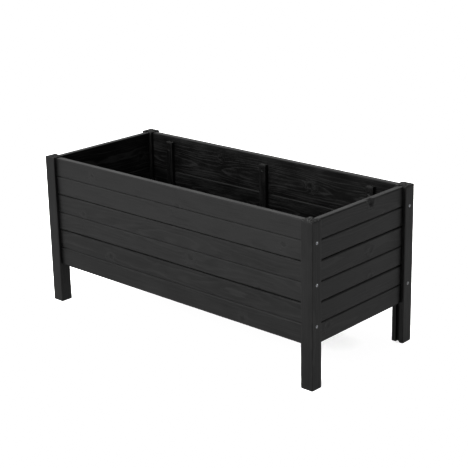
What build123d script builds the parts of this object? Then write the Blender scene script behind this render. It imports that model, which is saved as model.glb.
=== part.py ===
"""Raised planter on legs: a long trough of tongue-and-groove boards held between four corner posts.

Millimetres, +Z up. The origin is on the ground, at the centre of the planter's footprint.
X runs along the long walls, Y across them, and the front wall faces -Y.
"""

from build123d import *
import os

os.makedirs("parts", exist_ok=True)

# ---- driving dimensions -------------------------------------------------------------------
length = 1000.0  # over the posts, along X
width = 430.0  # over the posts, along Y
height = 446.0  # ground to post top
post_side = 37.0  # square post
post_ease = 2.0  # rounding of the posts' long edges
post_end_chamfer = 1.2  # rounding of the posts' sawn ends

board_t = 18.0  # wall board thickness
board_cover = 109.5  # height that one wall board covers
board_levels = ("bottom", "middle", "top")
rim_drop = 2.0  # wall tops stand this far below the post tops
rim_round = 2.0  # rounding of the top boards' upper edges

tongue_t = 5.0
tongue_h = 5.0
tongue_play = 0.2  # side clearance of a tongue in its groove
tongue_end_play = 0.5
v_depth = 3.0  # depth of the V lines on the outside
joint_gap = 1.0  # open slot at the bottom of a V that is a real joint
inner_v = 3.5  # bevels that meet in a V at each joint, on the inside

groove_w = 12.0  # groove in each post for the end boards
groove_depth = 8.0
groove_play = 0.2  # each side of an end board's rebated end in the groove
groove_end_play = 0.5
shoulder_play = 0.3  # gap between an end board's shoulders and the post

batten_w = 24.0
batten_t = 12.0
batten_x = {"left": -382.0, "middle": 0.0, "right": 382.0}
batten_drop = {"left": 16.0, "middle": 23.0, "right": 19.0}  # batten tops below the rim
arris = 1.0  # small bevel on inside timber

ledger_d = 20.0
ledger_h = 28.0
ledger_rise = 2.0  # underside of the ledgers above the wall's lower edge
ledger_end_gap = 2.0

floor_count = 9
floor_w = 95.0
floor_t = 12.0
floor_gap = 8.5  # drainage slot between floor boards
floor_end_gap = 2.0
floor_notch_w = 32.0
floor_notch_play = 1.0

# Fasteners: (shank radius, head radius, length under the head's face)
frame_screw = (2.2, 4.3, 60.0)
batten_screw = (1.6, 3.2, 25.0)
ledger_screw = (1.8, 3.6, 34.0)
floor_nail = (1.0, 2.4, 30.0)
brad = (0.7, 1.5, 20.0)
hole_play = 0.1  # radial clearance round every shank and head
tip_play = 1.0  # a pilot hole is this much deeper than its fastener
head_rim = 0.3  # straight edge of a countersunk head
nail_head_t = 0.8
nail_point_taper = 25.0  # degrees
recess_w = 1.1
recess_depth = 1.6
ledger_screws_x = (-420.0, -200.0, -60.0, 60.0, 200.0, 420.0)
fixing_rise = 16.0  # batten screws and brads stand this far above a board's middle, clear of its V
floor_nail_x = 30.0  # each side of a floor board's middle
floor_nail_inset = 10.0  # from the wall's inner face

# ---- derived places -----------------------------------------------------------------------
rim_z = height - rim_drop
wall_z = rim_z - board_cover * len(board_levels)
post_x = (length - post_side) / 2
post_y = (width - post_side) / 2
inner_x = post_x - board_t / 2  # inner face of the end walls
inner_y = post_y - board_t / 2  # inner face of the long walls
board_mid = board_cover / 2
level_mid = [wall_z + board_cover * i + board_mid for i in range(len(board_levels))]
ledger_z = wall_z + ledger_rise
ledger_top = ledger_z + ledger_h
floor_top = ledger_top + floor_t
long_span = length - 2 * post_side
end_span = width - 2 * post_side + 2 * (groove_depth - groove_end_play)
end_tongue_t = groove_w - 2 * groove_play
end_tongue_l = groove_depth - groove_end_play + shoulder_play
brad_y = width / 2 - post_side + groove_depth / 2

sides = {"front": Vector(0, -1, 0), "back": Vector(0, 1, 0)}
ends = {"left": Vector(-1, 0, 0), "right": Vector(1, 0, 0)}
up = Vector(0, 0, 1)


def save(piece, name):
    """Label a finished piece and write it as its own STEP file."""
    piece.label = name
    export_step(piece, f"parts/{name}.step")


def facing(origin, direction):
    """A location at origin whose local +Z points along direction."""
    side = Vector(0, 1, 0) if abs(direction.Z) > 0.5 else up
    return Plane(origin=origin, x_dir=side, z_dir=direction).location


# ---- fasteners, drawn with the head's face at the origin and the shank along -Z --------------
def countersunk_screw(size):
    """A countersunk wood screw with a cross recess."""
    shank_r, head_r, screw_l = size
    cone = head_r - shank_r
    tip = 2 * shank_r
    with BuildPart() as screw:
        with BuildSketch(Plane.XZ):
            with BuildLine():
                Polyline(
                    (0, 0),
                    (head_r, 0),
                    (head_r, -head_rim),
                    (shank_r, -cone - head_rim),
                    (shank_r, tip - screw_l),
                    (0, -screw_l),
                    close=True,
                )
            make_face()
        revolve(axis=Axis.Z)
        with BuildSketch(Plane.XY):
            Rectangle(head_r * 1.1, recess_w)
            Rectangle(recess_w, head_r * 1.1)
        extrude(amount=-recess_depth, mode=Mode.SUBTRACT)
    return screw.part


def flat_nail(size):
    """A flat-headed nail, its head flush with the surface."""
    shank_r, head_r, nail_l = size
    tip = 2 * shank_r
    with BuildPart() as nail:
        with BuildSketch(Plane.XY):
            Circle(head_r)
        extrude(amount=-nail_head_t)
        with BuildSketch(Plane.XY.offset(-nail_head_t)):
            Circle(shank_r)
        extrude(amount=-(nail_l - nail_head_t - tip))
        with BuildSketch(Plane.XY.offset(tip - nail_l)):
            Circle(shank_r)
        extrude(amount=-tip, taper=nail_point_taper)
    return nail.part


def screw_hole(size, depth):
    """Cut a countersunk clearance hole, at each place of the enclosing Locations."""
    shank_r, head_r, _ = size
    seat_r = head_r + hole_play + head_rim
    CounterSinkHole(shank_r + hole_play, seat_r, depth, counter_sink_angle=90)


def nail_hole(size, depth):
    """Cut a hole with a shallow seat for a nail's head, at each place of the enclosing Locations."""
    shank_r, head_r, _ = size
    CounterBoreHole(shank_r + hole_play, head_r + hole_play, nail_head_t, depth)


def pilot_hole(size, depth):
    """Cut a plain pilot hole, at each place of the enclosing Locations."""
    Hole(size[0] + hole_play, depth)


# ---- where the fasteners go: the face each one starts from, and its outward direction ---------
# The two end frames are the same frame turned round, so opposite corners match.
frame_spots = []
for end in ends.values():
    for side in sides.values():
        levels = (0, 1, 2) if end.X * side.Y < 0 else (0, 2)
        for level in levels:
            frame_spots.append((end, side, level))

frame_places = [
    facing((end.X * length / 2, side.Y * post_y, level_mid[level]), end)
    for end, side, level in frame_spots
]
brad_places = [
    facing((end.X * (length / 2 - post_side), side.Y * brad_y, z + fixing_rise), -1 * end)
    for end in ends.values()
    for side in sides.values()
    for z in level_mid
]
batten_places = [
    facing((x, side.Y * (inner_y - batten_t), z + fixing_rise), -1 * side)
    for side in sides.values()
    for x in batten_x.values()
    for z in level_mid
]
ledger_places = [
    facing((x, side.Y * (inner_y - ledger_d), ledger_z + ledger_h / 2), -1 * side)
    for side in sides.values()
    for x in ledger_screws_x
]
floor_pitch = floor_w + floor_gap
floor_x = [(i - (floor_count - 1) / 2) * floor_pitch for i in range(floor_count)]
floor_places = [
    facing((x + offset, side.Y * (inner_y - floor_nail_inset), floor_top), up)
    for x in floor_x
    for offset in (-floor_nail_x, floor_nail_x)
    for side in sides.values()
    if all(abs(x + offset - b) > floor_notch_w / 2 + floor_nail[1] for b in batten_x.values())
]


def near(places, low, high):
    """The places whose positions lie inside a box, given by its low and high corners."""
    return [
        p
        for p in places
        if low[0] <= p.position.X <= high[0]
        and low[1] <= p.position.Y <= high[1]
        and low[2] <= p.position.Z <= high[2]
    ]


# ---- corner posts: one length of timber each, grooved for the end boards, running on as legs --
for side_name, side in sides.items():
    for end_name, end in ends.items():
        cx, cy = end.X * post_x, side.Y * post_y
        with BuildPart() as post:
            with BuildSketch(Plane.XY):
                with Locations((cx, cy)):
                    Rectangle(post_side, post_side)
            extrude(amount=height)
            fillet(post.edges().filter_by(Axis.Z), post_ease)
            with BuildSketch(Plane.XY):
                with Locations((cx, cy - side.Y * (post_side - groove_depth) / 2)):
                    Rectangle(groove_w, groove_depth)
            extrude(amount=height, mode=Mode.SUBTRACT)
            chamfer(post.faces().sort_by(Axis.Z)[-1].edges(), post_end_chamfer)
            chamfer(post.faces().sort_by(Axis.Z)[0].edges(), post_end_chamfer)
            here = ((cx - post_side, cy - post_side, 0), (cx + post_side, cy + post_side, height))
            with Locations(*near(frame_places, *here)):
                screw_hole(frame_screw, post_side + tip_play)
            with Locations(*near(brad_places, *here)):
                nail_hole(brad, post_side / 2)
        save(post.part, f"post_{side_name}_{end_name}")


# ---- wall boards ------------------------------------------------------------------------------
def board_points(level):
    """A wall board's section: X is outwards from its inner face, Y is up from its lower edge."""
    is_bottom = level == 0
    is_top = level == len(board_levels) - 1
    cheek = (board_t - tongue_t) / 2
    groove_1 = cheek - tongue_play
    groove_2 = board_t - cheek + tongue_play
    foot = 0 if is_bottom else joint_gap
    if is_bottom:
        lower = [(0, 0)]
    else:
        slot_top = tongue_h + tongue_end_play
        lower = [
            (0, inner_v),
            (inner_v, 0),
            (groove_1, 0),
            (groove_1, slot_top),
            (groove_2, slot_top),
            (groove_2, foot),
        ]
    outer = [
        (board_t - v_depth, foot),
        (board_t, foot + v_depth),
        (board_t, board_mid - v_depth),
        (board_t - v_depth, board_mid),
        (board_t, board_mid + v_depth),
    ]
    if is_top:
        upper = [(board_t, board_cover), (0, board_cover)]
    else:
        upper = [
            (board_t, board_cover - v_depth),
            (board_t - v_depth, board_cover),
            (board_t - cheek, board_cover),
            (board_t - cheek, board_cover + tongue_h),
            (cheek, board_cover + tongue_h),
            (cheek, board_cover),
            (inner_v, board_cover),
            (0, board_cover - inner_v),
        ]
    return lower + outer + upper


def board_pilots(wall_name, level):
    """The pilot holes in one board, as (place, fastener size, depth)."""
    out = walls[wall_name][0]
    pilots = []
    if wall_name in ends:
        for side in sides.values():
            mouth = (out.X * inner_x, side.Y * brad_y, level_mid[level] + fixing_rise)
            depth = brad[2] - (post_side - board_t) / 2 + tip_play
            pilots.append((facing(mouth, -1 * out), brad, depth))
        return pilots
    for end, side, spot_level in frame_spots:
        if side == out and spot_level == level:
            mouth = (end.X * long_span / 2, side.Y * post_y, level_mid[level])
            depth = frame_screw[2] - post_side + tip_play
            pilots.append((facing(mouth, end), frame_screw, depth))
    for x in batten_x.values():
        mouth = (x, out.Y * inner_y, level_mid[level] + fixing_rise)
        depth = batten_screw[2] - batten_t + tip_play
        pilots.append((facing(mouth, -1 * out), batten_screw, depth))
    if level == 0:
        for x in ledger_screws_x:
            mouth = (x, out.Y * inner_y, ledger_z + ledger_h / 2)
            depth = ledger_screw[2] - ledger_d + tip_play
            pilots.append((facing(mouth, -1 * out), ledger_screw, depth))
    return pilots


# Each wall: its outward direction, its inner face's distance from the middle, its boards' length
walls = {name: (out, inner_y, long_span) for name, out in sides.items()}
walls |= {name: (out, inner_x, end_span) for name, out in ends.items()}

for wall_name, (out, inner_face_at, span) in walls.items():
    for level, level_name in enumerate(board_levels):
        section = Plane(
            origin=out * inner_face_at + up * (wall_z + board_cover * level),
            x_dir=out,
            z_dir=out.cross(up),
        )
        with BuildPart() as board:
            with BuildSketch(section):
                with BuildLine():
                    Polyline(*board_points(level), close=True)
                outline = make_face()
                if level_name == board_levels[-1]:
                    fillet(outline.vertices().sort_by(Axis.Y)[-2:], rim_round)
            extrude(amount=span / 2, both=True)
            if wall_name in ends:
                # both faces are rebated at each end, which leaves a tongue for the post's groove
                with BuildSketch(Plane.XY):
                    for side in sides.values():
                        for flank in (-1, 1):
                            cut_x = out.X * post_x + flank * (end_tongue_t + board_t) / 2
                            with Locations((cut_x, side.Y * (span - end_tongue_l) / 2)):
                                Rectangle(board_t, end_tongue_l)
                extrude(amount=height, mode=Mode.SUBTRACT)
            for place, size, depth in board_pilots(wall_name, level):
                with Locations(place):
                    pilot_hole(size, depth)
        save(board.part, f"board_{wall_name}_{level_name}")

# ---- inside battens: they tie the three boards of a long wall together ------------------------
for side_name, side in sides.items():
    for batten_name, x in batten_x.items():
        with BuildPart() as batten:
            with BuildSketch(Plane.XY.offset(ledger_top)):
                with Locations((x, side.Y * (inner_y - batten_t / 2))):
                    Rectangle(batten_w, batten_t)
            extrude(amount=rim_z - batten_drop[batten_name] - ledger_top)
            room_face = batten.faces().sort_by(Axis.Y)[0 if side.Y > 0 else -1]
            chamfer(room_face.edges(), arris)
            reach = ((x - batten_w, -width, 0), (x + batten_w, width, height))
            places = [p for p in near(batten_places, *reach) if p.position.Y * side.Y > 0]
            with Locations(*places):
                screw_hole(batten_screw, batten_t + tip_play)
        save(batten.part, f"batten_{side_name}_{batten_name}")

# ---- ledgers: they carry the floor boards along both long walls -------------------------------
for side_name, side in sides.items():
    with BuildPart() as ledger:
        with BuildSketch(Plane.XY.offset(ledger_z)):
            with Locations((0, side.Y * (inner_y - ledger_d / 2))):
                Rectangle(long_span - 2 * ledger_end_gap, ledger_d)
        extrude(amount=ledger_h)
        room_face = ledger.faces().sort_by(Axis.Y)[0 if side.Y > 0 else -1]
        chamfer(room_face.edges().filter_by(Axis.X), arris)
        with Locations(*[p for p in ledger_places if p.position.Y * side.Y > 0]):
            screw_hole(ledger_screw, ledger_d + tip_play)
        with Locations(*[p for p in floor_places if p.position.Y * side.Y > 0]):
            pilot_hole(floor_nail, floor_nail[2] + tip_play)
    save(ledger.part, f"floor_ledger_{side_name}")

# ---- floor boards: laid across the ledgers with drainage slots, notched round the battens -----
for number, x in enumerate(floor_x, start=1):
    with BuildPart() as floor_board:
        with BuildSketch(Plane.XY.offset(ledger_top)):
            with Locations((x, 0)):
                Rectangle(floor_w, 2 * (inner_y - floor_end_gap))
        extrude(amount=floor_t)
        chamfer(floor_board.faces().sort_by(Axis.Z)[-1].edges(), arris)
        with BuildSketch(Plane.XY.offset(ledger_top)):
            for bx in batten_x.values():
                for side in sides.values():
                    with Locations((bx, side.Y * (inner_y - (batten_t + floor_notch_play) / 2))):
                        Rectangle(floor_notch_w, batten_t + floor_notch_play)
        extrude(amount=floor_t, mode=Mode.SUBTRACT)
        reach = ((x - floor_w / 2, -width, 0), (x + floor_w / 2, width, height))
        with Locations(*near(floor_places, *reach)):
            nail_hole(floor_nail, floor_t + tip_play)
    save(floor_board.part, f"floor_board_{number}")

# ---- fasteners: each kind is one node of separate pieces --------------------------------------
fastener_sets = {
    "frame_screws": (countersunk_screw(frame_screw), frame_places),
    "batten_screws": (countersunk_screw(batten_screw), batten_places),
    "ledger_screws": (countersunk_screw(ledger_screw), ledger_places),
    "floor_nails": (flat_nail(floor_nail), floor_places),
    "end_board_brads": (flat_nail(brad), brad_places),
}
for name, (fastener, places) in fastener_sets.items():
    with BuildPart() as fasteners:
        with Locations(*places):
            add(fastener)
    save(fasteners.part, name)
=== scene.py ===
import math

import bmesh
import bpy
from mathutils import Matrix, Vector, noise


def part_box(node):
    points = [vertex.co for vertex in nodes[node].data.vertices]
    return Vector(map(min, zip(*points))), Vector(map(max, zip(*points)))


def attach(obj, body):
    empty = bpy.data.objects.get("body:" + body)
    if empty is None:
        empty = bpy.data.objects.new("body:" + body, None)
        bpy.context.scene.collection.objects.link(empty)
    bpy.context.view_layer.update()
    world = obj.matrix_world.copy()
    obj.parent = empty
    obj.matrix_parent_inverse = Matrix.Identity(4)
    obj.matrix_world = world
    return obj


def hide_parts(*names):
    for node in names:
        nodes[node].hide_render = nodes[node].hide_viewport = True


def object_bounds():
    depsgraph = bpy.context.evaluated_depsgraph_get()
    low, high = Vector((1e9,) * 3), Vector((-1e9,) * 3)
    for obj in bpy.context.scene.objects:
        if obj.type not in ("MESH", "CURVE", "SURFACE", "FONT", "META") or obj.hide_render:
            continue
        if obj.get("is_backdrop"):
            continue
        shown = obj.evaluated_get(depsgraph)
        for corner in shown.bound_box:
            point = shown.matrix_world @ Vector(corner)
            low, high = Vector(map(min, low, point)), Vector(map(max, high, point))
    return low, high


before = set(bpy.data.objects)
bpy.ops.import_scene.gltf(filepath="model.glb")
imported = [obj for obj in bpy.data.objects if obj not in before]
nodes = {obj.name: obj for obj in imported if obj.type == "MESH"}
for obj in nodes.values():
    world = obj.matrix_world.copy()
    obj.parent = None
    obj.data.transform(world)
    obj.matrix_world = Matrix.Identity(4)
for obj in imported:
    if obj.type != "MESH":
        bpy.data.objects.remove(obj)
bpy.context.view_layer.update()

# A black-stained softwood planter: tongue-and-groove boards between four posts. Metres, +Z up.
# Every wall board, post, batten and ledger is swept from its section along its grain, inside its
# CAD node's box. The floor boards and the fasteners keep their CAD shapes and get new materials.

MM = 0.001
BODY = "root"
WOOD_SLOT = "black_stained_wood"
X, Y, Z = Vector((1, 0, 0)), Vector((0, 1, 0)), Vector((0, 0, 1))
WALLS = {"front": -Y, "back": Y, "left": -X, "right": X}
LEVELS = ("bottom", "middle", "top")

# ---- sizes of the frame ------------------------------------------------------------------------
post_low, post_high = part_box("post_front_right")
post_side = post_high.x - post_low.x
board_low, board_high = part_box("board_front_bottom")
next_low, next_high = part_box("board_front_middle")
board_t = board_high.y - board_low.y
board_cover = next_high.z - board_high.z
tongue_h = board_high.z - board_low.z - board_cover

# Sizes that no box gives
TONGUE_T = 5 * MM
TONGUE_PLAY = 0.2 * MM
SLOT_PLAY = 0.5 * MM
V_DEPTH = 3 * MM  # of the V lines outside
INNER_V = 3.5 * MM  # of the V at each joint inside
GROOVE_W = 12 * MM  # of the grooves in the posts
GROOVE_DEPTH = 8 * MM
POST_EASE = 2 * MM  # rounding of the posts' long edges
BOARD_EASE = 0.8 * MM
PLAIN_EASE = 1.0 * MM  # of the battens and ledgers
RIM_ROUND = 2 * MM
END_RIM_ROUND = 3.5 * MM  # of the end walls' rims, outside
HEAD_R = {"frame": 4.3 * MM, "batten": 3.2 * MM, "ledger": 3.6 * MM}
SEAT_PLAY = 0.35 * MM
TINY = 0.001 * MM
FINE_PITCH, PITCH = 2.5 * MM, 7 * MM  # between stations along a piece
FLAT_PITCH = 8 * MM  # between points across a flat


# ---- sections ----------------------------------------------------------------------------------
# A section is a loop of (out, up, edge) points, anticlockwise with out to the right and up upwards.
# edge is 1 on an arris, -1 in a hollow corner and 0 on a flat.
def rounded(corners, arc_steps=3):
    """Turn (out, up, radius) corners into section points, with an arc at each rounded corner."""
    points = []
    count = len(corners)
    for i, (x, y, radius) in enumerate(corners):
        here = Vector((x, y))
        if radius <= 0:
            points.append((x, y, 0.0))
            continue
        before = (Vector(corners[i - 1][:2]) - here).normalized()
        after = (Vector(corners[(i + 1) % count][:2]) - here).normalized()
        edge = 1.0 if before.cross(after) < 0 else -1.0
        half = before.angle(after) / 2
        reach = radius / math.tan(half)
        middle = here + (before + after).normalized() * (radius / math.sin(half))
        start, stop = here + before * reach - middle, here + after * reach - middle
        for step in range(arc_steps + 1):
            arm = start.slerp(stop, step / arc_steps).normalized() * radius
            points.append((*(middle + arm), edge))
    return points


def subdivided(points, widest=FLAT_PITCH, margin=1.6 * MM):
    """Add points on the flats: one close to each arris, so that wear stays narrow, then evenly."""
    out = []
    for i, (x, y, edge) in enumerate(points):
        out.append((x, y, edge))
        x2, y2, _ = points[(i + 1) % len(points)]
        span = math.hypot(x2 - x, y2 - y)
        if span < 3 * margin:
            continue
        inner = span - 2 * margin
        steps = max(1, math.ceil(inner / widest))
        for step in range(steps + 1):
            t = (margin + inner * step / steps) / span
            out.append((x + (x2 - x) * t, y + (y2 - y) * t, 0.0))
    return out


def stations(length, pitch, end_round):
    """Distances along a piece, as (step, shrink), closer together at its rounded ends."""
    steps = max(2, round(length / pitch))
    inner = length - 2 * end_round
    along = [(end_round + inner * i / steps, 0.0) for i in range(steps + 1)]
    head = [(0.0, end_round), (end_round * 0.35, end_round * 0.35)]
    tail = [(length - end_round * 0.35, end_round * 0.35), (length, end_round)]
    return head + along + tail


def shoulder_stations(place, side, end_round):
    """The stations at a shoulder, past which the piece is thinner on `side`, -1 or 1."""
    return [
        (place + side * TINY, 0.0),
        (place, end_round),
        (place - side * end_round * 0.35, end_round * 0.35),
        (place - side * end_round, 0.0),
    ]


# ---- timber ------------------------------------------------------------------------------------
def slow_noise(point, seed, size):
    """A random value from -1 to 1 that changes over about `size`."""
    return noise.noise(point / size + Vector((seed * 3.1, seed * 7.7, seed * 1.3)))


class Timber:
    """One piece of timber. Sweeps are added to it, and then it becomes a Blender object.

    axes are (along, up, out). pith is where the tree's middle lies in the section, as (out, up).
    knots are (along, up, radius). chips are (along, out, up, radius, depth): knocked-off corners.
    The last argument is how much paler than the others the piece is painted on its outer faces:
    painted sheen on the front's upper boards, painted shade on the posts, and paler right-wall
    boards.
    """

    def __init__(self, origin, axes, pith, seed, knots=(), chips=(), tone_and_painted_light=0.0):
        self.origin = origin
        self.along, self.up, self.out = axes
        self.pith, self.seed = pith, seed
        self.knots, self.chips, self.tone_and_painted_light = knots, chips, tone_and_painted_light
        self.vertices, self.faces = [], []
        titles = ("grain", "knot", "edge", "end_grain", "inside", "tone_and_painted_light")
        self.values = {title: [] for title in titles}

    def nearest_knot(self, place, v):
        """The offset to the nearest knot, in knot radii, and 1 near it or 0 away from every knot."""
        best, closest = (9.0, 9.0, 0.0), 3.0
        for k_along, k_up, radius in self.knots:
            du, dv = (place - k_along) / (radius * 1.2), (v - k_up) / radius
            if math.hypot(du, dv) < closest:
                closest, best = math.hypot(du, dv), (du, dv, 1.0)
        return best

    def worn(self, point, place, w, v, arris, shrink):
        """How far the timber's surface lies inside its exact section."""
        cut = shrink + 0.10 * MM * (1 + slow_noise(point, self.seed, 0.18))
        if arris > 0.5:
            cut += 0.30 * MM * max(0.0, slow_noise(point, self.seed + 5, 0.016) + 0.2)
        for c_along, c_out, c_up, radius, depth in self.chips:
            gap = Vector((place - c_along, w - c_out, v - c_up)).length / radius
            cut += depth * max(0.0, 1 - gap * gap)
        return cut

    def sweep(self, section, start, stop, pitch=PITCH, end_round=0.8 * MM, inner_out=None,
              shoulders=()):
        """Sweep a section along the grain from start to stop.

        section is a loop of points, or a function that gives one for each place.
        Points nearer the inside than inner_out belong to the rough inner face.
        shoulders are (place, side), where side is the side on which the piece gets thinner.
        """
        shape = section if callable(section) else lambda place: section
        first = shape((start + stop) / 2)
        low_out, high_out = min(p[0] for p in first), max(p[0] for p in first)
        low_up, high_up = min(p[1] for p in first), max(p[1] for p in first)
        rows = [(start + step, shrink) for step, shrink in stations(stop - start, pitch, end_round)]
        for place, side in shoulders:
            near = [row for row in rows if abs(row[0] - place) < 2 * end_round]
            rows = [row for row in rows if row not in near]
            rows += shoulder_stations(place, side, end_round)
        rows.sort()
        base, ring = len(self.vertices), len(first)
        for place, shrink in rows:
            for w, v, arris in shape(place):
                exact = self.origin + self.along * place + self.up * v + self.out * w
                # towards the middle of the section, as if it were square
                inward = Vector((
                    (low_out + high_out - 2 * w) / (high_out - low_out),
                    (low_up + high_up - 2 * v) / (high_up - low_up),
                )).normalized()
                inward *= self.worn(exact, place, w, v, arris, shrink)
                self.vertices.append(exact + self.out * inward.x + self.up * inward.y)
                self.values["grain"].append(
                    (place + self.seed * 2.37, v - self.pith[1], w - self.pith[0])
                )
                self.values["knot"].append(self.nearest_knot(place, v))
                self.values["edge"].append(arris)
                self.values["end_grain"].append(1.0 if shrink == end_round else 0.0)
                inside = inner_out is not None and w < inner_out
                self.values["inside"].append(1.0 if inside else 0.0)
                self.values["tone_and_painted_light"].append(0.0 if inside else self.tone_and_painted_light)
        for row in range(len(rows) - 1):
            for i in range(ring):
                a, b = base + row * ring, base + (row + 1) * ring
                j = (i + 1) % ring
                self.faces.append((a + i, a + j, b + j, b + i))
        last = base + (len(rows) - 1) * ring
        self.faces.append(tuple(base + i for i in reversed(range(ring))))
        self.faces.append(tuple(last + i for i in range(ring)))

    def finish(self, name, node, seats=()):
        """Make the object that stands for a CAD node, with countersunk seats cut for its screws."""
        mesh = bpy.data.meshes.new(name)
        mesh.from_pydata(self.vertices, [], self.faces)
        if self.along.cross(self.up).dot(self.out) > 0:
            mesh.flip_normals()
        for title, values in self.values.items():
            if isinstance(values[0], float):
                layer = mesh.attributes.new(title, "FLOAT", "POINT")
                layer.data.foreach_set("value", values)
            else:
                layer = mesh.attributes.new(title, "FLOAT_VECTOR", "POINT")
                layer.data.foreach_set("vector", [c for value in values for c in value])
        # A shoulder's section has points that fall together, and they become one.
        welded = bmesh.new()
        welded.from_mesh(mesh)
        bmesh.ops.remove_doubles(welded, verts=welded.verts, dist=TINY / 2)
        welded.to_mesh(mesh)
        welded.free()
        mesh.polygons.foreach_set("use_smooth", [True] * len(mesh.polygons))
        mesh.set_sharp_from_angle(angle=math.radians(38))
        mesh.materials.append(wood)
        piece = bpy.data.objects.new(name, mesh)
        bpy.context.scene.collection.objects.link(piece)
        if seats:
            cut_seats(piece, seats)
        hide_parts(node)
        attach(piece, BODY)
        return piece


# ---- screw seats -------------------------------------------------------------------------------
def islands(node):
    """The box of each separate part of a CAD node, as (low corner, high corner)."""
    mesh = nodes[node].data
    parent = list(range(len(mesh.vertices)))

    def root(i):
        while parent[i] != i:
            parent[i] = parent[parent[i]]
            i = parent[i]
        return i

    place = {}
    for i, vertex in enumerate(mesh.vertices):
        key = tuple(round(c, 6) for c in vertex.co)
        parent[root(i)] = root(place.setdefault(key, i))
    for edge in mesh.edges:
        a, b = edge.vertices
        parent[root(a)] = root(b)
    groups = {}
    for i, vertex in enumerate(mesh.vertices):
        groups.setdefault(root(i), []).append(vertex.co)
    boxes = []
    for points in groups.values():
        low = Vector(map(min, zip(*points)))
        high = Vector(map(max, zip(*points)))
        boxes.append((low, high))
    return boxes


def seat_cutter(mouth, outward, radius, depth):
    """A short cone that widens outwards, with the wood's attributes on it."""
    segments = 24
    side = outward.orthogonal().normalized()
    other = outward.cross(side)
    rings = [(0.6 * MM, radius + 0.6 * MM), (-0.35 * MM, radius), (-depth, radius * 0.45)]
    points = []
    for height, r in rings:
        for i in range(segments):
            angle = 2 * math.pi * i / segments
            arm = side * math.cos(angle) + other * math.sin(angle)
            points.append(mouth + outward * height + arm * r)
    faces = [tuple(range(segments)), tuple(reversed(range(2 * segments, 3 * segments)))]
    for row in range(2):
        for i in range(segments):
            j = (i + 1) % segments
            a, b = row * segments, (row + 1) * segments
            faces.append((a + i, b + i, b + j, a + j))
    mesh = bpy.data.meshes.new("seat_cutter")
    mesh.from_pydata(points, [], faces)
    grain = mesh.attributes.new("grain", "FLOAT_VECTOR", "POINT")
    grain.data.foreach_set("vector", [c for point in points for c in point])
    mesh.materials.append(wood)
    return bpy.data.objects.new("seat_cutter", mesh)


def cut_seats(piece, seats):
    """Cut a seat at each (mouth, outward, head radius), and keep the result as the piece's mesh."""
    cutters = []
    for mouth, outward, radius in seats:
        cutter = seat_cutter(mouth, outward, radius + SEAT_PLAY, radius + 0.5 * MM)
        bpy.context.scene.collection.objects.link(cutter)
        cutters.append(cutter)
        cut = piece.modifiers.new("seat", "BOOLEAN")
        cut.operation = "DIFFERENCE"
        cut.solver = "EXACT"
        cut.object = cutter
    depsgraph = bpy.context.evaluated_depsgraph_get()
    result = bpy.data.meshes.new_from_object(piece.evaluated_get(depsgraph))
    piece.modifiers.clear()
    old, piece.data = piece.data, result
    result.name = old.name
    bpy.data.meshes.remove(old)
    for cutter in cutters:
        bpy.data.objects.remove(cutter)


def seats_of(screws, low, high, outward, radius):
    """The seats for those screws of a CAD node whose heads lie in a box."""
    found = []
    for a, b in islands(screws):
        middle = (a + b) / 2
        reach = [abs(h - l) / 2 for l, h in zip(a, b)]
        head = middle + Vector(o * r for o, r in zip(outward, reach))
        if all(l - MM <= c <= h + MM for l, c, h in zip(low, head, high)):
            found.append((head, outward, radius))
    return found


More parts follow.
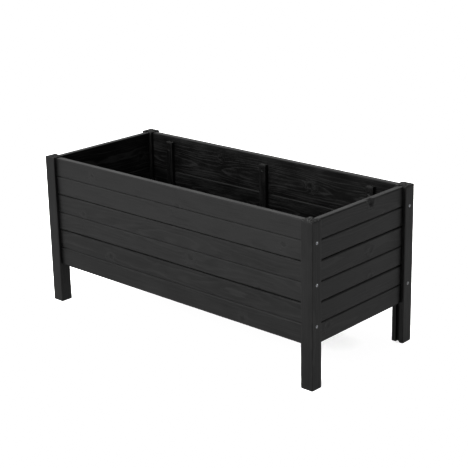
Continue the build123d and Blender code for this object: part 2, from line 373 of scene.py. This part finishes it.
# ---- node helpers ------------------------------------------------------------------------------
class Graph:
    """A material's node tree, with short calls for the nodes that the finishes use."""

    def __init__(self, name):
        self.material = bpy.data.materials.new(name)
        self.material.use_nodes = True
        self.tree = self.material.node_tree
        self.tree.nodes.clear()
        self.shader = self.add("ShaderNodeBsdfPrincipled")
        output = self.add("ShaderNodeOutputMaterial")
        self.tree.links.new(self.shader.outputs[0], output.inputs["Surface"])

    def add(self, kind, **settings):
        made = self.tree.nodes.new(kind)
        for key, value in settings.items():
            setattr(made, key, value)
        return made

    def put(self, value, socket):
        if isinstance(value, bpy.types.NodeSocket):
            self.tree.links.new(value, socket)
        else:
            socket.default_value = value

    def math(self, operation, *values, clamp=False):
        made = self.add("ShaderNodeMath", operation=operation, use_clamp=clamp)
        for value, socket in zip(values, made.inputs):
            self.put(value, socket)
        return made.outputs[0]

    def total(self, *values):
        result = values[0]
        for value in values[1:]:
            result = self.math("ADD", result, value)
        return result

    def product(self, *values):
        result = values[0]
        for value in values[1:]:
            result = self.math("MULTIPLY", result, value)
        return result

    def scaled(self, value, factor, offset=0.0):
        return self.math("MULTIPLY_ADD", value, factor, offset)

    def vector(self, operation, *values):
        made = self.add("ShaderNodeVectorMath", operation=operation)
        for value, socket in zip(values, made.inputs):
            self.put(value, socket)
        return made.outputs["Value" if operation == "LENGTH" else "Vector"]

    def split(self, vector):
        made = self.add("ShaderNodeSeparateXYZ")
        self.put(vector, made.inputs[0])
        return made.outputs

    def join(self, *values):
        made = self.add("ShaderNodeCombineXYZ")
        for value, socket in zip(values, made.inputs):
            self.put(value, socket)
        return made.outputs[0]

    def attribute(self, name, output="Fac"):
        return self.add("ShaderNodeAttribute", attribute_name=name).outputs[output]

    def random(self, value):
        made = self.add("ShaderNodeTexWhiteNoise", noise_dimensions="1D")
        self.put(value, made.inputs["W"])
        return made.outputs[0]

    def noise(self, vector, stretch, detail=2.0, rough=0.5):
        made = self.add("ShaderNodeTexNoise")
        self.put(self.vector("MULTIPLY", vector, stretch), made.inputs["Vector"])
        made.inputs["Scale"].default_value = 1.0
        made.inputs["Detail"].default_value = detail
        made.inputs["Roughness"].default_value = rough
        return made.outputs["Fac"]

    def ramp(self, value, stops):
        """A grey ramp through (place, level) stops, given in order."""
        made = self.add("ShaderNodeValToRGB")
        band = made.color_ramp
        for place, _ in stops[2:]:
            band.elements.new(place)
        for element, (place, level) in zip(band.elements, stops):
            element.position = place
            element.color = (level, level, level, 1)
        self.put(value, made.inputs["Fac"])
        return made.outputs["Color"]

    def blend(self, factor, first, second):
        made = self.add("ShaderNodeMix", data_type="RGBA")
        self.put(factor, made.inputs[0])
        self.put(first, made.inputs[6])
        self.put(second, made.inputs[7])
        return made.outputs[2]

    def bump(self, height, strength, distance, normal=None):
        made = self.add("ShaderNodeBump")
        made.inputs["Strength"].default_value = strength
        made.inputs["Distance"].default_value = distance
        self.put(height, made.inputs["Height"])
        if normal is not None:
            self.put(normal, made.inputs["Normal"])
        return made.outputs[0]

    def set(self, **sockets):
        for key, value in sockets.items():
            self.put(value, self.shader.inputs[key.replace("_", " ")])


# ---- black-stained softwood --------------------------------------------------------------------
SPECULAR = 0.30
RING = 3.4 * MM  # growth ring
DEEP_STAIN = (0.0008, 0.0008, 0.0008, 1)
THIN_STAIN = (0.013, 0.013, 0.013, 1)
THIN_STAIN_INSIDE = (0.022, 0.022, 0.022, 1)
# Arrises: paler where the stain is worn, and also a painted highlight along them
WORN_ARRIS_AND_HIGHLIGHT = (0.075, 0.073, 0.070, 1)
END_FLECK = (0.110, 0.110, 0.108, 1)


def stained_wood(name, grain, knot, edge, end_grain, inside, tone_and_painted_light):
    """Softwood under a thin black stain. The arguments are functions that give its coordinates."""
    g = Graph(name)
    grain, edge, end_grain, inside = grain(g), edge(g), end_grain(g), inside(g)
    across, height_off, near = g.split(knot(g))
    knot_d = g.math("SQRT", g.total(g.product(across, across), g.product(height_off, height_off)))
    knot_d = g.product(knot_d, g.scaled(g.noise(grain, (70, 150, 150), 2.0), 1.1, 0.45))
    pull = g.product(near, g.math("EXPONENT", g.scaled(g.product(knot_d, knot_d), -0.7)))
    heart = g.product(near, g.ramp(knot_d, [(0.55, 1.0), (0.95, 0.0)]))
    collar = g.product(near, g.ramp(g.scaled(knot_d, 0.4), [(0.20, 0.0), (0.48, 1.0), (1.0, 0.0)]))

    # Growth rings round the pith. They wander along the board and bulge round each knot.
    radial = g.vector("LENGTH", g.vector("MULTIPLY", grain, (0, 1, 1)))
    wander = g.scaled(g.noise(grain, (2.4, 9, 9), 1.0), 0.034, -0.017)
    ripple = g.scaled(g.noise(grain, (16, 70, 70), 2.0), 0.0036, -0.0018)
    phase = g.scaled(g.total(radial, wander, ripple, g.scaled(pull, 0.012)), 1 / RING)
    phase = g.total(phase, g.product(heart, g.scaled(knot_d, 3.0)))
    late = g.ramp(g.math("FRACT", phase), [(0.0, 0.0), (0.50, 0.2), (0.84, 1.0), (1.0, 0.0)])
    late = g.product(late, g.scaled(g.random(g.math("FLOOR", phase)), 0.7, 0.3))

    fibre = g.noise(grain, (60, 1700, 1700), 3.0, 0.6)
    streak = g.noise(grain, (9, 260, 260), 4.0, 0.7)
    patch = g.noise(grain, (9, 22, 22), 3.0, 0.65)
    specks = g.noise(grain, (200, 230, 230), 3.0, 0.7)

    # The stain is thinner on the hard late wood, and uneven on the rough inner faces.
    thinness = g.total(g.scaled(late, 0.45), g.scaled(streak, 0.9), g.scaled(patch, 0.8),
                       g.scaled(fibre, 0.3, -0.72))
    thinness = g.product(thinness, g.scaled(inside, 1.5, 1.6))
    pooled = g.math("MINIMUM", edge, 0.0)
    # The piece's tone term paints the front's upper boards paler (painted sheen) and the posts
    # darker (painted shade).
    thinness = g.total(thinness, g.scaled(inside, -0.77, -0.23), tone_and_painted_light(g), pooled,
                       g.scaled(heart, -0.36), g.scaled(collar, 0.30))
    end_specks = g.product(end_grain, g.scaled(specks, 6.0, -3.1))
    thinness = g.math("ADD", thinness, end_specks, clamp=True)
    thin_stain = g.blend(inside, THIN_STAIN, THIN_STAIN_INSIDE)
    stain = g.blend(thinness, DEEP_STAIN, thin_stain)
    # Arrises are painted paler in patches: worn stain, and a painted highlight along the edges.
    rubs_and_highlights = g.ramp(g.noise(grain, (40, 180, 180), 2.0), [(0.46, 0.0), (0.66, 1.0)])
    colour = g.blend(g.scaled(g.product(edge, rubs_and_highlights), 0.09), stain, WORN_ARRIS_AND_HIGHLIGHT)
    # End grain drinks the stain unevenly, and stays paler in flecks.
    flecks = g.product(end_grain, g.ramp(specks, [(0.50, 0.0), (0.60, 1.0)]))
    colour = g.blend(flecks, colour, END_FLECK)

    rough = g.total(g.scaled(patch, 0.30, 0.22), g.scaled(late, -0.07), g.scaled(fibre, 0.12),
                    g.scaled(inside, 0.05))
    rough = g.math("ADD", rough, g.scaled(end_grain, 0.45), clamp=True)

    # Relief: the knots' collars, then the late wood, the fibres and the saw marks.
    lump = g.bump(g.total(collar, g.scaled(heart, -0.7)), 0.5, 0.8 * MM)
    saw = g.product(inside, g.noise(grain, (300, 16, 16), 2.0))
    relief = g.total(
        g.scaled(late, 0.45),
        g.scaled(fibre, 0.35),
        g.product(streak, g.scaled(inside, 0.8, 0.6)),
        g.scaled(saw, 0.5),
        g.product(end_grain, g.scaled(specks, 2.0)),
    )
    g.set(Base_Color=colour, Roughness=rough, Normal=g.bump(relief, 0.6, 0.4 * MM, lump))
    g.shader.inputs["Specular IOR Level"].default_value = SPECULAR
    return g.material


wood = stained_wood(
    WOOD_SLOT,
    lambda g: g.attribute("grain", "Vector"),
    knot=lambda g: g.attribute("knot", "Vector"),
    edge=lambda g: g.attribute("edge"),
    end_grain=lambda g: g.attribute("end_grain"),
    inside=lambda g: g.attribute("inside"),
    tone_and_painted_light=lambda g: g.attribute("tone_and_painted_light"),
)


# The floor boards are CAD nodes, so their grain runs along Y and comes from their own places.
floor_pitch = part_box("floor_board_2")[0].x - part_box("floor_board_1")[0].x
floor_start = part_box("floor_board_1")[0].x
floor_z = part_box("floor_board_1")[0].z


def across_floor(g):
    x, y, z = g.split(g.add("ShaderNodeTexCoord").outputs["Object"])
    board = g.math("FLOOR", g.scaled(x, 1 / floor_pitch, -floor_start / floor_pitch))
    chance = g.random(g.scaled(board, 1.0, 0.5))
    own_x = g.total(x, g.scaled(board, -floor_pitch), g.scaled(chance, -0.06, -floor_start))
    return g.join(g.total(y, g.scaled(chance, 9.0)), own_x, g.scaled(z, 1.0, 0.02 - floor_z))


floor_wood = stained_wood(
    "black_stained_floor",
    across_floor,
    knot=lambda g: (9.0, 9.0, 0.0),
    edge=lambda g: 0.0,
    end_grain=lambda g: 0.0,
    inside=lambda g: 0.6,
    tone_and_painted_light=lambda g: 0.0,
)


# ---- zinc-plated steel -------------------------------------------------------------------------
def zinc(name, over_stained):
    """Zinc plating: bright on the frame screws, and under the stain on those fitted before it."""
    g = Graph(name)
    place = g.add("ShaderNodeTexCoord").outputs["Object"]
    mottle = g.noise(place, (900, 900, 900), 3.0)
    scratch = g.noise(place, (500, 3000, 3000), 2.0)
    if over_stained:
        light, dark = (0.022, 0.022, 0.022, 1), (0.004, 0.004, 0.004, 1)
        g.shader.inputs["Specular IOR Level"].default_value = SPECULAR
    else:
        light, dark = (0.56, 0.565, 0.58, 1), (0.18, 0.183, 0.188, 1)
        g.shader.inputs["Metallic"].default_value = 1.0
    g.set(
        Base_Color=g.blend(g.scaled(mottle, 1.6, -0.3), dark, light),
        Roughness=g.scaled(mottle, 0.3, 0.28),
        Normal=g.bump(scratch, 0.4, 0.1 * MM),
    )
    return g.material


bright_zinc = zinc("zinc_plated_steel", False)
stained_zinc = zinc("zinc_under_stain", True)


def refinish(node, material):
    """Give a CAD node that keeps its shape a better material."""
    nodes[node].data.materials.clear()
    nodes[node].data.materials.append(material)


refinish("frame_screws", bright_zinc)
for fasteners in ("batten_screws", "ledger_screws", "floor_nails", "end_board_brads"):
    refinish(fasteners, stained_zinc)
for number in range(1, 10):
    refinish(f"floor_board_{number}", floor_wood)

# ---- wall boards -------------------------------------------------------------------------------
# Knots: (board, share of the wall's length from its left seen from outside, height, radius)
KNOTS = {
    "front": [
        ("top", 0.535, 0.060, 9 * MM), ("top", 0.934, 0.033, 8 * MM),
        ("top", 0.170, 0.083, 6 * MM), ("middle", 0.584, 0.034, 10 * MM),
        ("middle", 0.120, 0.070, 7 * MM), ("middle", 0.845, 0.004, 8 * MM),
        ("bottom", 0.782, 0.017, 9 * MM), ("bottom", 0.240, 0.075, 8 * MM),
    ],
    "right": [
        ("top", 0.600, 0.101, 7 * MM), ("middle", 0.600, 0.082, 8 * MM),
        ("middle", 0.600, 0.010, 7 * MM), ("bottom", 0.120, 0.040, 8 * MM),
    ],
    "back": [
        ("top", 0.320, 0.050, 9 * MM), ("top", 0.690, 0.074, 6 * MM),
        ("middle", 0.180, 0.080, 8 * MM), ("middle", 0.640, 0.040, 11 * MM),
        ("bottom", 0.420, 0.060, 9 * MM), ("bottom", 0.860, 0.030, 7 * MM),
    ],
    "left": [
        ("top", 0.120, 0.040, 8 * MM), ("middle", 0.280, 0.070, 9 * MM),
        ("bottom", 0.200, 0.030, 10 * MM),
    ],
}
# Boards painted paler than the rest on their outer faces. On the front this is painted sheen: the
# upper boards are paler, standing in for their brighter reflection. The right wall's boards are
# paler, more so higher up.
BOARD_TONES_AND_SHEEN = {"board_front_top": 0.60, "board_front_middle": 0.28, "board_right_top": 0.30,
         "board_right_middle": 0.25, "board_right_bottom": 0.10}
# Painted shade: the posts are painted darker, because their legs reflect the darker floor close to
# the planter.
POST_PAINTED_SHADE = -0.10
# How far each joint stands open, given at the board above it
JOINT_GAPS = {
    "front": {"middle": 3.0 * MM, "top": 0.6 * MM},
    "back": {"middle": 1.2 * MM, "top": 1.6 * MM},
    "right": {"middle": 1.0 * MM, "top": 1.2 * MM},
    "left": {"middle": 1.6 * MM, "top": 1.2 * MM},
}


def board_section(level, rim_round):
    """A cladding board's section. Its foot is V-edged and slotted, unless it is the lowest board."""
    t, cover, mid = board_t, board_cover, board_cover / 2
    cheek = (t - TONGUE_T) / 2
    if level == "bottom":
        lower = [(0, 0, BOARD_EASE)]
    else:
        slot_top = tongue_h + SLOT_PLAY
        lower = [
            (0, INNER_V, 0.6 * MM),
            (INNER_V, 0, 0.2 * MM),
            (cheek - TONGUE_PLAY, 0, 0.2 * MM),
            (cheek - TONGUE_PLAY, slot_top, 0),
            (t - cheek + TONGUE_PLAY, slot_top, 0),
            (t - cheek + TONGUE_PLAY, 0, 0.2 * MM),
        ]
    outer = [
        (t - V_DEPTH, 0, 0.3 * MM),
        (t, V_DEPTH, BOARD_EASE),
        (t, mid - V_DEPTH, BOARD_EASE),
        (t - V_DEPTH, mid, 0.15 * MM),
        (t, mid + V_DEPTH, BOARD_EASE),
    ]
    if level == "top":
        upper = [(t, cover, rim_round), (0, cover, RIM_ROUND)]
    else:
        upper = [
            (t, cover - V_DEPTH, BOARD_EASE),
            (t - V_DEPTH, cover, 0.3 * MM),
            (t - cheek, cover, 0),
            (t - cheek, cover + tongue_h, 0.3 * MM),
            (cheek, cover + tongue_h, 0.3 * MM),
            (cheek, cover, 0),
            (INNER_V, cover, 0.2 * MM),
            (0, cover - INNER_V, 0.6 * MM),
        ]
    return subdivided(rounded(lower + outer + upper))


def opened(section, gap):
    """Raise the outer part of a board's foot by `gap`, fading out up the board's face."""
    fade = 14 * MM
    return [
        (w, v + gap * (1 - v / fade), arris) if w > board_t / 2 and v < fade else (w, v, arris)
        for w, v, arris in section
    ]


def rebated(section):
    """The end of an end board, cut back on both faces to sit in a post's groove."""
    low = (board_t - GROOVE_W) / 2 + TONGUE_PLAY
    high = board_t - low
    return [
        (w, v, arris) if low <= w <= high else (min(max(w, low), high), v, 0.0)
        for w, v, arris in section
    ]


for wall_number, (wall, out) in enumerate(WALLS.items()):
    along = Z.cross(out)
    for level_number, level in enumerate(LEVELS):
        node = f"board_{wall}_{level}"
        low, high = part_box(node)
        length = abs((high - low).dot(along))
        origin = (low + high) / 2 - out * board_t / 2 - along * length / 2
        origin.z = low.z
        seed = wall_number * 3 + level_number + 1
        pith = (-(18 + 13 * ((seed * 7) % 5)) * MM, (0.15 + 0.12 * ((seed * 5) % 7)) * board_cover)
        knots = [(share * length, v, r) for board, share, v, r in KNOTS[wall] if board == level]
        chips = []
        if wall == "right" and level == "top":
            chips = [
                (0.600 * length, board_t, board_cover - 6 * MM, 12 * MM, 7 * MM),
                (0.570 * length, board_t, board_cover - 1 * MM, 8 * MM, 3 * MM),
            ]
        widest_gap = JOINT_GAPS[wall].get(level, 0)

        is_end = wall in ("left", "right")
        closed = board_section(level, END_RIM_ROUND if is_end else RIM_ROUND)
        inset = GROOVE_DEPTH if is_end else 0.0

        def section(place):
            """The board's section at a place. The joint below is tightest at the board's start."""
            swing = slow_noise(Vector((place, 0, 0)), seed, 0.22)
            tight_end = min(1.0, 0.35 + 5 * place / length)
            whole = opened(closed, widest_gap * tight_end * (1 + 0.35 * swing))
            in_groove = min(place, length - place) < inset - TINY / 2
            return rebated(whole) if in_groove else whole

        tone_and_painted_light = BOARD_TONES_AND_SHEEN.get(node, 0.0)
        timber = Timber(origin, (along, Z, out), pith, seed, knots, chips, tone_and_painted_light)
        inner = INNER_V * 0.9
        pitch = FINE_PITCH if chips else PITCH
        shoulders = ((inset, -1), (length - inset, 1)) if is_end else ()
        timber.sweep(section, 0, length, pitch, inner_out=inner, shoulders=shoulders)
        timber.finish(f"{wall}_{level}_board", node)


# ---- posts -------------------------------------------------------------------------------------
def post_section():
    """A square post with eased long edges and a groove on its +up side."""
    s, g0, g1 = post_side, (post_side - GROOVE_W) / 2, (post_side + GROOVE_W) / 2
    corners = [
        (0, 0, POST_EASE),
        (s, 0, POST_EASE),
        (s, s, POST_EASE),
        (g1, s, 0.5 * MM),
        (g1, s - GROOVE_DEPTH, 0),
        (g0, s - GROOVE_DEPTH, 0),
        (g0, s, 0.5 * MM),
        (0, s, POST_EASE),
    ]
    return subdivided(rounded(corners, 4), 7 * MM)


for side_number, (side_name, side) in enumerate((("front", -1), ("back", 1))):
    for end_name, end in (("left", -1), ("right", 1)):
        node = f"post_{side_name}_{end_name}"
        low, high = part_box(node)
        # The section's up runs from the post's outer face to the face with the groove.
        origin = Vector((low.x, low.y if side < 0 else high.y, low.z))
        seed = 21 + side_number * 2 + (end > 0)
        pith = (-(8 + 5 * (seed % 3)) * MM, -(6 + 9 * (seed % 2)) * MM)
        timber = Timber(origin, (Z, Y * -side, X), pith, seed, tone_and_painted_light=POST_PAINTED_SHADE)
        timber.sweep(post_section(), 0, high.z - low.z, end_round=1.0 * MM)
        seats = seats_of("frame_screws", low, high, X * end, HEAD_R["frame"])
        timber.finish(f"{side_name}_{end_name}_post", node, seats)


# ---- battens and ledgers -----------------------------------------------------------------------
def plain_timber(name, node, axes, seed, screws, outward, radius):
    """A rectangular piece with eased edges that fills its CAD node's box."""
    low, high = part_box(node)
    length, height, depth = (abs((high - low).dot(axis)) for axis in axes)
    along, up, out = axes
    origin = (low + high) / 2 - along * length / 2 - up * height / 2 - out * depth / 2
    corners = [(x, y, PLAIN_EASE) for x, y in ((0, 0), (depth, 0), (depth, height), (0, height))]
    pith = (-(12 + 17 * (seed % 4)) * MM, height * (0.2 + 0.15 * ((seed * 3) % 5)))
    timber = Timber(origin, axes, pith, seed)
    timber.sweep(subdivided(rounded(corners)), 0, length)
    timber.finish(name, node, seats_of(screws, low, high, outward, radius))


for side_name, side in (("front", -1), ("back", 1)):
    inward = Y * -side
    for number, place in enumerate(("left", "middle", "right")):
        plain_timber(f"{side_name}_{place}_batten", f"batten_{side_name}_{place}",
                     (Z, X * side, inward), 30 + number + 3 * (side > 0),
                     "batten_screws", inward, HEAD_R["batten"])
    plain_timber(f"{side_name}_ledger", f"floor_ledger_{side_name}", (X, Z, inward),
                 40 + (side > 0), "ledger_screws", inward, HEAD_R["ledger"])


# ---- studio: pale floor, soft light ------------------------------------------------------------
FLOOR_HALF = 300.0


def pale_floor():
    """A plain pale floor that glows a little, so that it prints evenly white."""
    h = FLOOR_HALF
    mesh = bpy.data.meshes.new("studio_floor")
    mesh.from_pydata([(-h, -h, 0), (h, -h, 0), (h, h, 0), (-h, h, 0)], [], [(0, 1, 2, 3)])
    g = Graph("studio_floor")
    g.shader.inputs["Base Color"].default_value = (0.5, 0.5, 0.5, 1)
    g.shader.inputs["Roughness"].default_value = 0.9
    g.shader.inputs["Emission Color"].default_value = (1, 1, 1, 1)
    g.shader.inputs["Emission Strength"].default_value = 0.24
    mesh.materials.append(g.material)
    floor = bpy.data.objects.new("studio_floor", mesh)
    bpy.context.scene.collection.objects.link(floor)
    floor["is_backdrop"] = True


def softbox(name, place, target, size, power):
    """A large soft lamp that the camera doesn't see."""
    lamp = bpy.data.lights.new(name, "AREA")
    lamp.shape = "RECTANGLE"
    lamp.size, lamp.size_y = size
    lamp.energy = power
    holder = bpy.data.objects.new(name, lamp)
    holder.location = place
    holder.rotation_euler = (target - place).to_track_quat("-Z", "Y").to_euler()
    holder.visible_camera = False
    bpy.context.scene.collection.objects.link(holder)


def studio_world(towards, bright, dim):
    """A studio whose light is brightest from one direction. Its backdrop looks white all round."""
    world = bpy.data.worlds.new("studio")
    world.use_nodes = True
    tree = world.node_tree
    background = tree.nodes["Background"]
    background.inputs["Color"].default_value = (1, 1, 1, 1)
    direction = tree.nodes.new("ShaderNodeTexCoord")
    facing = tree.nodes.new("ShaderNodeVectorMath")
    facing.operation = "DOT_PRODUCT"
    facing.inputs[1].default_value = towards.normalized()
    ramp = tree.nodes.new("ShaderNodeMapRange")
    ramp.inputs["From Min"].default_value = -1.0
    ramp.inputs["From Max"].default_value = 1.0
    ramp.inputs["To Min"].default_value = dim
    ramp.inputs["To Max"].default_value = bright
    tree.links.new(direction.outputs["Generated"], facing.inputs[0])
    tree.links.new(facing.outputs["Value"], ramp.inputs["Value"])
    path = tree.nodes.new("ShaderNodeLightPath")
    seen = tree.nodes.new("ShaderNodeMath")
    seen.operation = "MAXIMUM"
    tree.links.new(ramp.outputs[0], seen.inputs[0])
    tree.links.new(path.outputs["Is Camera Ray"], seen.inputs[1])
    tree.links.new(seen.outputs[0], background.inputs["Strength"])
    bpy.context.scene.world = world


def catalogue_print():
    """Develop the picture as a catalogue does: the pale floor and backdrop print as white."""
    settings = bpy.context.scene.view_settings
    settings.view_transform = "Standard"
    settings.use_curve_mapping = True
    curve = settings.curve_mapping.curves[3]
    curve.points[0].location = (0.0, 0.0)
    curve.points[-1].location = (1.0, 1.0)
    for place, level in ((0.12, 0.12), (0.30, 0.742), (0.335, 0.985), (0.38, 1.0)):
        curve.points.new(place, level)
    for point in curve.points:
        point.handle_type = "VECTOR"
    settings.curve_mapping.update()


pale_floor()
studio_world(Vector((-1.0, -0.3, 0.15)), 1.0, 0.05)
softbox("front", Vector((-0.1, -2.9, 1.6)), Vector((0.3, -0.1, 0.3)), (1.6, 1.4), 48)
catalogue_print()

# ---- camera: in front of the near corner, looking down on the rim ------------------------------
CAMERA_PLACE = Vector((2.2723, -2.4205, 1.3689))
CAMERA_YAW = math.radians(42.574)
CAMERA_PITCH = math.radians(17.031)
CAMERA_ROLL = math.radians(-1.106)

camera_data = bpy.data.cameras.new("camera")
camera_data.lens = 95.1
camera_data.sensor_width = 36
camera_data.shift_y = -0.070
camera_data.clip_end = 1000
camera = bpy.data.objects.new("camera", camera_data)
bpy.context.scene.collection.objects.link(camera)
camera.matrix_world = (
    Matrix.Translation(CAMERA_PLACE)
    @ Matrix.Rotation(CAMERA_YAW, 4, "Z")
    @ Matrix.Rotation(math.pi / 2 - CAMERA_PITCH, 4, "X")
    @ Matrix.Rotation(CAMERA_ROLL, 4, "Z")
)
bpy.context.scene.camera = camera

low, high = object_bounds()
